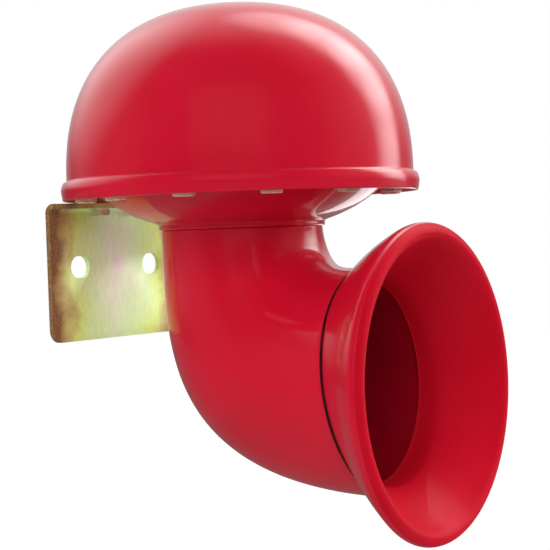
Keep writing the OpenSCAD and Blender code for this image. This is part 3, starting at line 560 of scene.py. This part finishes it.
def make_spring(node):
    """A coil with closed ends, in place of a CAD spring."""
    low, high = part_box(node)
    wire = SPRING_WIRE_R * MM
    middle = (low + high) / 2
    coil_r = (high.z - low.z) / 2 - wire
    start, end = low.y + wire, high.y - wire
    sides, steps = 10, SPRING_TURNS * 24
    path = []
    for i in range(steps + 1):
        t = i / steps
        turn = 2 * math.pi * SPRING_TURNS * t
        # The coil is closer at its ends than in its middle
        along = t - 0.04 * math.sin(2 * math.pi * t)
        x, z = middle.x + coil_r * math.cos(turn), middle.z + coil_r * math.sin(turn)
        path.append(Vector((x, start + (end - start) * along, z)))
    points = []
    for i, spot in enumerate(path):
        ahead = (path[min(i + 1, steps)] - path[max(i - 1, 0)]).normalized()
        side = ahead.cross(Vector((0, 1, 0))).normalized()
        other = ahead.cross(side)
        for k in range(sides):
            t = 2 * math.pi * k / sides
            points.append(spot + wire * (math.cos(t) * side + math.sin(t) * other))
    faces = [list(range(sides))[::-1], list(range(steps * sides, (steps + 1) * sides))]
    for i in range(steps):
        for k in range(sides):
            n = (k + 1) % sides
            faces.append([i * sides + k, i * sides + n, (i + 1) * sides + n, (i + 1) * sides + k])
    return new_object(node + "_coil", points, faces, 50)


def add_spring(node):
    """Puts a coil of spring steel in place of the CAD spring, on the horn's body."""
    spring = make_spring(node)
    spring.data.materials.append(materials["spring_steel"])
    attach(spring, BODY)
    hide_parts(node)
    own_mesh(spring)


# ---- Materials ----

def new_material(name):
    material = bpy.data.materials.new(name)
    material.use_nodes = True
    nodes = material.node_tree.nodes
    shader = nodes["Principled BSDF"]
    coords = nodes.new("ShaderNodeTexCoord").outputs["Object"]
    return material, nodes, material.node_tree.links, shader, coords


def noise(nodes, links, coords, scale, detail=3.0, distortion=0.0, stretch=None):
    """A noise value between 0 and 1, with its features about 1 / scale metres across."""
    if stretch:
        mapping = nodes.new("ShaderNodeMapping")
        mapping.inputs["Scale"].default_value = stretch
        links.new(coords, mapping.inputs["Vector"])
        coords = mapping.outputs["Vector"]
    texture = nodes.new("ShaderNodeTexNoise")
    texture.inputs["Scale"].default_value = scale
    texture.inputs["Detail"].default_value = detail
    texture.inputs["Distortion"].default_value = distortion
    links.new(coords, texture.inputs["Vector"])
    return texture.outputs["Fac"]


def ramp(nodes, links, value, stops):
    """Maps a value to colours through (position, colour) stops."""
    node = nodes.new("ShaderNodeValToRGB")
    elements = node.color_ramp.elements
    while len(elements) < len(stops):
        elements.new(0.5)
    for element, (position, colour) in zip(elements, stops):
        element.position = position
        element.color = (*colour, 1)
    links.new(value, node.inputs["Fac"])
    return node.outputs["Color"]


def remap(nodes, links, value, low, high, from_low=0.3, from_high=0.7):
    node = nodes.new("ShaderNodeMapRange")
    node.inputs["From Min"].default_value = from_low
    node.inputs["From Max"].default_value = from_high
    node.inputs["To Min"].default_value = low
    node.inputs["To Max"].default_value = high
    links.new(value, node.inputs["Value"])
    return node.outputs["Result"]


def mix_colour(nodes, links, factor, a, b):
    node = nodes.new("ShaderNodeMix")
    node.data_type = "RGBA"
    for value, socket in ((factor, node.inputs[0]), (a, node.inputs[6]), (b, node.inputs[7])):
        if isinstance(value, (tuple, float)):
            socket.default_value = (*value, 1) if isinstance(value, tuple) else value
        else:
            links.new(value, socket)
    return node.outputs[2]


def bump(nodes, links, shader, height, depth, strength):
    """Adds a bump of the given depth in metres to the shader."""
    node = nodes.new("ShaderNodeBump")
    node.inputs["Strength"].default_value = strength
    node.inputs["Distance"].default_value = depth
    links.new(height, node.inputs["Height"])
    links.new(node.outputs["Normal"], shader.inputs["Normal"])


def edge_wear(nodes, links, low=0.52, high=0.6):
    """0 on flat ground, rising to 1 on sharp outer edges."""
    geometry = nodes.new("ShaderNodeNewGeometry")
    return remap(nodes, links, geometry.outputs["Pointiness"], 0.0, 1.0, low, high)


def red_enamel(name, roughness, coat, gloss, deep, light):
    """Sprayed red enamel: slight mottling, orange peel, fine dust nibs and paler paint on edges."""
    material, nodes, links, shader, coords = new_material(name)
    mottle = noise(nodes, links, coords, 22, 4)
    colour = ramp(nodes, links, mottle, [(0.3, deep), (0.7, light)])
    nibs = noise(nodes, links, coords, 1600, 1)
    nib_mask = remap(nodes, links, nibs, 0.0, 0.35, 0.74, 0.8)
    colour = mix_colour(nodes, links, nib_mask, colour, (0.72, 0.12, 0.12))
    worn = nodes.new("ShaderNodeMath")
    worn.operation = "MULTIPLY"
    worn.inputs[1].default_value = 0.3
    links.new(edge_wear(nodes, links), worn.inputs[0])
    colour = mix_colour(nodes, links, worn.outputs[0], colour, (0.66, 0.04, 0.04))
    links.new(colour, shader.inputs["Base Color"])
    smear = noise(nodes, links, coords, 45, 5, 0.6)
    links.new(remap(nodes, links, smear, roughness * 0.88, roughness * 1.15), shader.inputs["Roughness"])
    shader.inputs["Coat Weight"].default_value = coat
    shader.inputs["Coat Roughness"].default_value = 0.06
    shader.inputs["Specular IOR Level"].default_value = gloss
    peel = noise(nodes, links, coords, 420, 2)
    bump(nodes, links, shader, peel, 0.00003, 0.4)
    return material


def yellow_zinc(name, patches, roughness):
    """Yellow-passivated zinc on small parts: drifting olive, green, straw and pink, with a fine grain."""
    material, nodes, links, shader, coords = new_material(name)
    drift = noise(nodes, links, coords, patches, 3, 1.2)
    colour = ramp(nodes, links, drift, [
        (0.30, (0.62, 0.44, 0.22)), (0.42, (0.80, 0.74, 0.40)), (0.50, (0.78, 0.82, 0.50)),
        (0.58, (0.84, 0.80, 0.66)), (0.66, (0.80, 0.66, 0.56)), (0.74, (0.78, 0.84, 0.48)),
    ])
    colour = mix_colour(nodes, links, edge_wear(nodes, links, 0.53, 0.62), colour, (0.72, 0.60, 0.46))
    zinc_surface(nodes, links, shader, coords, colour, roughness)
    return material


def zinc_surface(nodes, links, shader, coords, colour, roughness):
    """Grain, stains and the half-metallic shine of passivated zinc over a colour."""
    grain = noise(nodes, links, coords, 900, 2, 0, (1, 1, 0.25))
    grain_mask = remap(nodes, links, grain, 0.0, 0.14, 0.35, 0.65)
    colour = mix_colour(nodes, links, grain_mask, colour, (0.40, 0.37, 0.20))
    links.new(colour, shader.inputs["Base Color"])
    shader.inputs["Metallic"].default_value = 0.15
    stain = noise(nodes, links, coords, 70, 4, 0.5)
    links.new(remap(nodes, links, stain, roughness * 0.8, roughness * 1.25), shader.inputs["Roughness"])
    bump(nodes, links, shader, grain, 0.00003, 0.6)


def zinc_sheet(name):
    """Yellow-passivated sheet: pinkish grey in the middle, then green, yellow-green, and brown, partly the
    zinc's own tints and partly painted reflection, bright in place of a metallic shine.
    """
    material, nodes, links, shader, coords = new_material(name)
    spread = nodes.new("ShaderNodeMapping")
    spread.inputs["Scale"].default_value = (0, 1 / 0.039, 1 / 0.075)
    links.new(coords, spread.inputs["Vector"])
    reach = nodes.new("ShaderNodeVectorMath")
    reach.operation = "LENGTH"
    links.new(spread.outputs["Vector"], reach.inputs[0])
    drift = remap(nodes, links, noise(nodes, links, coords, 90, 5, 0.2), -0.11, 0.11)
    patch = nodes.new("ShaderNodeMath")
    links.new(reach.outputs["Value"], patch.inputs[0])
    links.new(drift, patch.inputs[1])
    # Partly painted reflection: the pale, bright stops stand in for the plate's metallic shine.
    colour = ramp(nodes, links, patch.outputs[0], [
        (0.0, (0.93, 0.80, 0.75)), (0.13, (0.87, 0.95, 0.68)), (0.40, (0.74, 0.98, 0.48)),
        (0.68, (0.72, 0.92, 0.22)), (0.83, (0.56, 0.44, 0.14)), (0.96, (0.24, 0.10, 0.03)),
    ])
    specks = noise(nodes, links, coords, 1500, 3)
    speck_mask = remap(nodes, links, specks, 0.0, 0.28, 0.52, 0.68)
    colour = mix_colour(nodes, links, speck_mask, colour, (0.66, 0.66, 0.40))
    zinc_surface(nodes, links, shader, coords, colour, 0.36)
    return material


def metal(name, dark, light, roughness=0.3, grain_stretch=None, metallic=1.0, scale=700):
    """Bare or plated metal with a fine grain, faint stains and brighter edges."""
    material, nodes, links, shader, coords = new_material(name)
    stain = noise(nodes, links, coords, 90, 4, 0.4)
    colour = ramp(nodes, links, stain, [(0.35, dark), (0.65, light)])
    bright = tuple(min(1.0, c * 1.25 + 0.05) for c in light)
    colour = mix_colour(nodes, links, edge_wear(nodes, links, 0.53, 0.62), colour, bright)
    links.new(colour, shader.inputs["Base Color"])
    shader.inputs["Metallic"].default_value = metallic
    grain = noise(nodes, links, coords, scale, 2, 0, grain_stretch)
    links.new(remap(nodes, links, grain, roughness * 0.8, roughness * 1.3), shader.inputs["Roughness"])
    bump(nodes, links, shader, grain, 0.00002, 0.5)
    return material


def dull(name, dark, light, roughness, scale=500):
    """Rubber, carbon, board, moulding or insulation: fine texture and small changes of tone."""
    material, nodes, links, shader, coords = new_material(name)
    tone = noise(nodes, links, coords, 120, 5, 0.3)
    links.new(ramp(nodes, links, tone, [(0.3, dark), (0.7, light)]), shader.inputs["Base Color"])
    texture = noise(nodes, links, coords, scale, 3)
    rough = remap(nodes, links, texture, roughness * 0.85, min(1.0, roughness * 1.2))
    links.new(rough, shader.inputs["Roughness"])
    bump(nodes, links, shader, texture, 0.00004, 0.6)
    return material


def make_reds():
    """The enamel outside, its duller versions inside, with the throat's darker red as painted shade, and a
    near-black colour as the painted shade of a seam's line.
    """
    return {
        "red_paint": red_enamel(
            "red_enamel_gloss", 0.34, 0.8, 0.16, (0.54, 0.0035, 0.020), (0.61, 0.005, 0.028)),
        "red_inner": red_enamel(
            "red_enamel_inside", 0.45, 0.0, 0.3, (0.26, 0.002, 0.006), (0.32, 0.003, 0.009)),
        # Painted shade: the throat's darker red stands in for the shade deep inside the bend.
        "elbow_inside_painted_shade": red_enamel(
            "red_enamel_throat_painted_shade", 0.55, 0.0, 0.05, (0.25, 0.001, 0.010), (0.32, 0.002, 0.015)),
        "bell_inside": red_enamel(
            "red_enamel_funnel", 0.5, 0.04, 0.03, (0.48, 0.003, 0.014), (0.55, 0.005, 0.021)),
        # Painted shade: a near-black colour standing in for the shadow in the seam's groove.
        "seam_painted_shade": dull("seam_painted_shade", (0.025, 0.002, 0.003), (0.06, 0.004, 0.006), 0.8),
    }


def make_metals():
    turned, wound = (0.2, 0.2, 1), (0.1, 0.1, 1)
    stacked, rolled = (0.05, 0.05, 1), (1, 0.15, 1)
    return {
        "zinc_bracket": zinc_sheet("yellow_zinc_sheet_painted_sheen"),
        "zinc_fastener": yellow_zinc("yellow_zinc_fastener", 160, 0.3),
        "bright_steel": metal("bright_zinc", (0.55, 0.56, 0.58), (0.68, 0.69, 0.7), 0.3),
        "hard_steel": metal("ground_steel", (0.22, 0.22, 0.24), (0.36, 0.36, 0.38), 0.25, turned),
        "spring_steel": metal("rolled_spring_steel", (0.46, 0.48, 0.5), (0.6, 0.62, 0.64), 0.28, rolled),
        "can_steel": metal("dull_zinc", (0.42, 0.43, 0.45), (0.54, 0.55, 0.57), 0.42),
        "lamination": metal(
            "lamination_stack", (0.2, 0.2, 0.21), (0.36, 0.36, 0.38), 0.45, stacked, 1.0, 1500),
        "copper_wire": metal(
            "enamelled_copper", (0.42, 0.13, 0.05), (0.62, 0.24, 0.1), 0.28, wound, 0.8, 1800),
        "copper": metal("turned_copper", (0.6, 0.28, 0.16), (0.78, 0.4, 0.26), 0.22, turned),
        "bronze": metal("sintered_bronze", (0.42, 0.27, 0.13), (0.6, 0.42, 0.22), 0.45, None, 1.0, 1500),
        "brass": metal("bright_brass", (0.66, 0.48, 0.2), (0.8, 0.62, 0.3), 0.25),
    }


def make_dull_ones():
    return {
        "gasket": dull("fibre_gasket", (0.03, 0.03, 0.033), (0.06, 0.058, 0.055), 0.8, 900),
        "ferrite": dull("sintered_ferrite", (0.05, 0.05, 0.055), (0.1, 0.1, 0.105), 0.55, 1400),
        "carbon": dull("pressed_carbon", (0.03, 0.03, 0.032), (0.07, 0.07, 0.072), 0.5, 1500),
        "card": dull("phenolic_board", (0.2, 0.09, 0.03), (0.34, 0.17, 0.07), 0.5, 700),
        "black_moulding": dull("black_moulding", (0.012, 0.012, 0.013), (0.03, 0.03, 0.032), 0.34, 800),
        "capacitor_skin": dull("capacitor_sleeve", (0.02, 0.06, 0.28), (0.04, 0.1, 0.4), 0.3, 500),
        "lead_skin": dull("lead_insulation", (0.26, 0.008, 0.012), (0.38, 0.014, 0.02), 0.4, 700),
    }


def dress_cad_nodes(materials):
    """Gives every CAD node its material."""
    for entry in frame["record"]["subparts"]:
        node = frame["nodes"][entry["node"]]
        node.data.materials.clear()
        node.data.materials.append(materials[entry["material_slot"]])


# ---- Studio ----

CAMERA_AZIMUTH = math.radians(34.6)
CAMERA_DISTANCE = 0.604
CAMERA_HEIGHT = -0.01635
CAMERA_PAN = math.radians(1.11)
CAMERA_PITCH = math.radians(-1.29)
CAMERA_ROLL = math.radians(2.03)
LENS = 105.2


def camera_frame():
    """The directions to the right, up and forward as the camera sees them, without its roll."""
    pan = CAMERA_AZIMUTH - CAMERA_PAN
    level = Vector((-math.sin(pan), math.cos(pan), 0))
    forward = level * math.cos(CAMERA_PITCH) + Vector((0, 0, math.sin(CAMERA_PITCH)))
    right = Vector((math.cos(pan), math.sin(pan), 0))
    return right, right.cross(forward), forward


def make_camera():
    right, up, forward = camera_frame()
    c, s = math.cos(CAMERA_ROLL), math.sin(CAMERA_ROLL)
    rolled_right = c * right - s * up
    rolled_up = s * right + c * up
    data = bpy.data.cameras.new("camera")
    data.lens = LENS
    data.sensor_width = 36
    camera = bpy.data.objects.new("camera", data)
    spot = DOME + Vector((math.sin(CAMERA_AZIMUTH), -math.cos(CAMERA_AZIMUTH), 0)) * CAMERA_DISTANCE
    spot.z += CAMERA_HEIGHT
    turn = Matrix((rolled_right, rolled_up, -forward)).transposed().to_4x4()
    camera.matrix_world = Matrix.Translation(spot) @ turn
    bpy.context.scene.collection.objects.link(camera)
    bpy.context.scene.camera = camera


def camera_direction(right, up, near):
    """A direction given by how far it goes to the camera's right, up, and towards the camera."""
    to_right, to_up, forward = camera_frame()
    return (to_right * right + to_up * up - forward * near).normalized()


def panel_light(name, direction, distance, size, watts, reflected=False):
    """A flat light that faces the horn. Only a reflected one shows up in the paint's gloss."""
    aim = DOME + Vector((0.02, 0, -0.03))
    data = bpy.data.lights.new(name, "AREA")
    data.shape = "RECTANGLE"
    data.size, data.size_y = size
    data.energy = watts
    light = bpy.data.objects.new(name, data)
    light.location = aim + direction * distance
    light.rotation_euler = (-direction).to_track_quat("-Z", "Y").to_euler()
    light.visible_glossy = reflected
    light.visible_camera = False
    bpy.context.scene.collection.objects.link(light)


# Soft lights of the surround: direction (right, up, near), full to and gone by (degrees off it), brightness
SURROUND = (
    ((0.00, 0.72, -0.69), 20, 58, 0.85),
    ((-0.68, 0.60, -0.46), 10, 38, 1.0),
    ((0.90, 0.02, -0.44), 3, 18, 1.9),
    ((0.85, 0.28, -0.44), 3, 19, 2.2),
    ((0.72, 0.54, -0.44), 3, 22, 3.4),
    ((0.52, 0.74, -0.44), 3, 22, 2.8),
    ((0.25, 0.87, -0.44), 3, 21, 1.9),
)
SURROUND_BASE = 0.045
FLOOR_DROP = 0.16
FLOOR_SIZE = 6.0


def make_world():
    """A dim surround with soft lights behind the horn, to its left, right and top.

    The camera sees plain white instead.
    """
    world = bpy.data.worlds.new("studio")
    bpy.context.scene.world = world
    world.use_nodes = True
    nodes, links = world.node_tree.nodes, world.node_tree.links
    nodes.clear()
    coords = nodes.new("ShaderNodeTexCoord")
    level = None
    for direction, full, gone, brightness in SURROUND:
        dot = nodes.new("ShaderNodeVectorMath")
        dot.operation = "DOT_PRODUCT"
        dot.inputs[1].default_value = camera_direction(*direction)
        links.new(coords.outputs["Generated"], dot.inputs[0])
        lobe = nodes.new("ShaderNodeMapRange")
        lobe.interpolation_type = "SMOOTHSTEP"
        lobe.inputs["From Min"].default_value = math.cos(math.radians(gone))
        lobe.inputs["From Max"].default_value = math.cos(math.radians(full))
        lobe.inputs["To Max"].default_value = brightness
        links.new(dot.outputs["Value"], lobe.inputs["Value"])
        add = nodes.new("ShaderNodeMath")
        links.new(lobe.outputs["Result"], add.inputs[0])
        add.inputs[1].default_value = SURROUND_BASE
        if level:
            links.new(level, add.inputs[1])
        level = add.outputs[0]
    around = nodes.new("ShaderNodeBackground")
    around.inputs["Color"].default_value = (1, 1, 1, 1)
    links.new(level, around.inputs["Strength"])
    seen = nodes.new("ShaderNodeBackground")
    seen.inputs["Color"].default_value = (1, 1, 1, 1)
    path = nodes.new("ShaderNodeLightPath")
    mix = nodes.new("ShaderNodeMixShader")
    links.new(path.outputs["Is Camera Ray"], mix.inputs["Fac"])
    links.new(around.outputs[0], mix.inputs[1])
    links.new(seen.outputs[0], mix.inputs[2])
    output = nodes.new("ShaderNodeOutputWorld")
    links.new(mix.outputs[0], output.inputs["Surface"])


def make_floor():
    """A pale floor well below the horn, which hangs from its bracket.

    It looks white to the camera and is dark to all other rays, so it hardly lights the horn.
    """
    level = cad_box[0][2] - FLOOR_DROP
    half = FLOOR_SIZE / 2
    points = [Vector((x * half, y * half, level)) for x, y in ((-1, -1), (1, -1), (1, 1), (-1, 1))]
    floor = new_object("floor", points, [[0, 1, 2, 3]])
    material, nodes, links, shader, coords = new_material("pale_floor")
    tone = noise(nodes, links, coords, 6, 4)
    colour = ramp(nodes, links, tone, [(0.3, (0.05, 0.05, 0.05)), (0.7, (0.06, 0.06, 0.06))])
    links.new(colour, shader.inputs["Base Color"])
    shader.inputs["Roughness"].default_value = 0.7
    shader.inputs["Emission Color"].default_value = (1, 1, 1, 1)
    path = nodes.new("ShaderNodeLightPath")
    glow = remap(nodes, links, path.outputs["Is Camera Ray"], 0.0, 0.9, 0, 1)
    links.new(glow, shader.inputs["Emission Strength"])
    floor.data.materials.append(material)


def make_studio():
    make_camera()
    make_world()
    make_floor()
    panel_light("front_fill", camera_direction(-0.1, 0.5, 1.0), 1.4, (1.2, 1.0), 15)
    panel_light("left_fill", camera_direction(-1.0, 0.2, 0.1), 1.4, (1.0, 1.0), 7)
    panel_light("right_fill", camera_direction(1.0, 0.25, 0.1), 1.4, (1.0, 1.0), 9)
    panel_light("low_fill", Vector((0, 0, -1)), 0.24, (1.0, 1.0), 2.6)
    panel_light("bowl_glint", camera_direction(0.43, -0.34, -0.83), 0.6, (0.32, 0.32), 0.7, True)
    bpy.context.scene.view_settings.view_transform = "Standard"


# ---- Build ----

materials = {**make_reds(), **make_metals(), **make_dull_ones()}
dress_cad_nodes(materials)

for make, node, slot, finishes in (
    (make_dome, "dome_cover", "red_paint", ("red_paint",)),
    (make_housing, "diaphragm_housing", "red_paint", ("red_paint",)),
    (make_elbow, "elbow", "red_paint", ("red_paint", "elbow_inside_painted_shade", "seam_painted_shade")),
    (make_bell, "bell", "red_paint", ("red_paint", "bell_inside", "seam_painted_shade")),
    (make_bracket, "bracket", "zinc_bracket", ("zinc_bracket",)),
):
    piece = make()
    for finish in finishes:
        piece.data.materials.append(materials[finish])
    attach(piece, BODY)
    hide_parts(node)

add_spring("brush_a_spring")
add_spring("brush_b_spring")
make_studio()
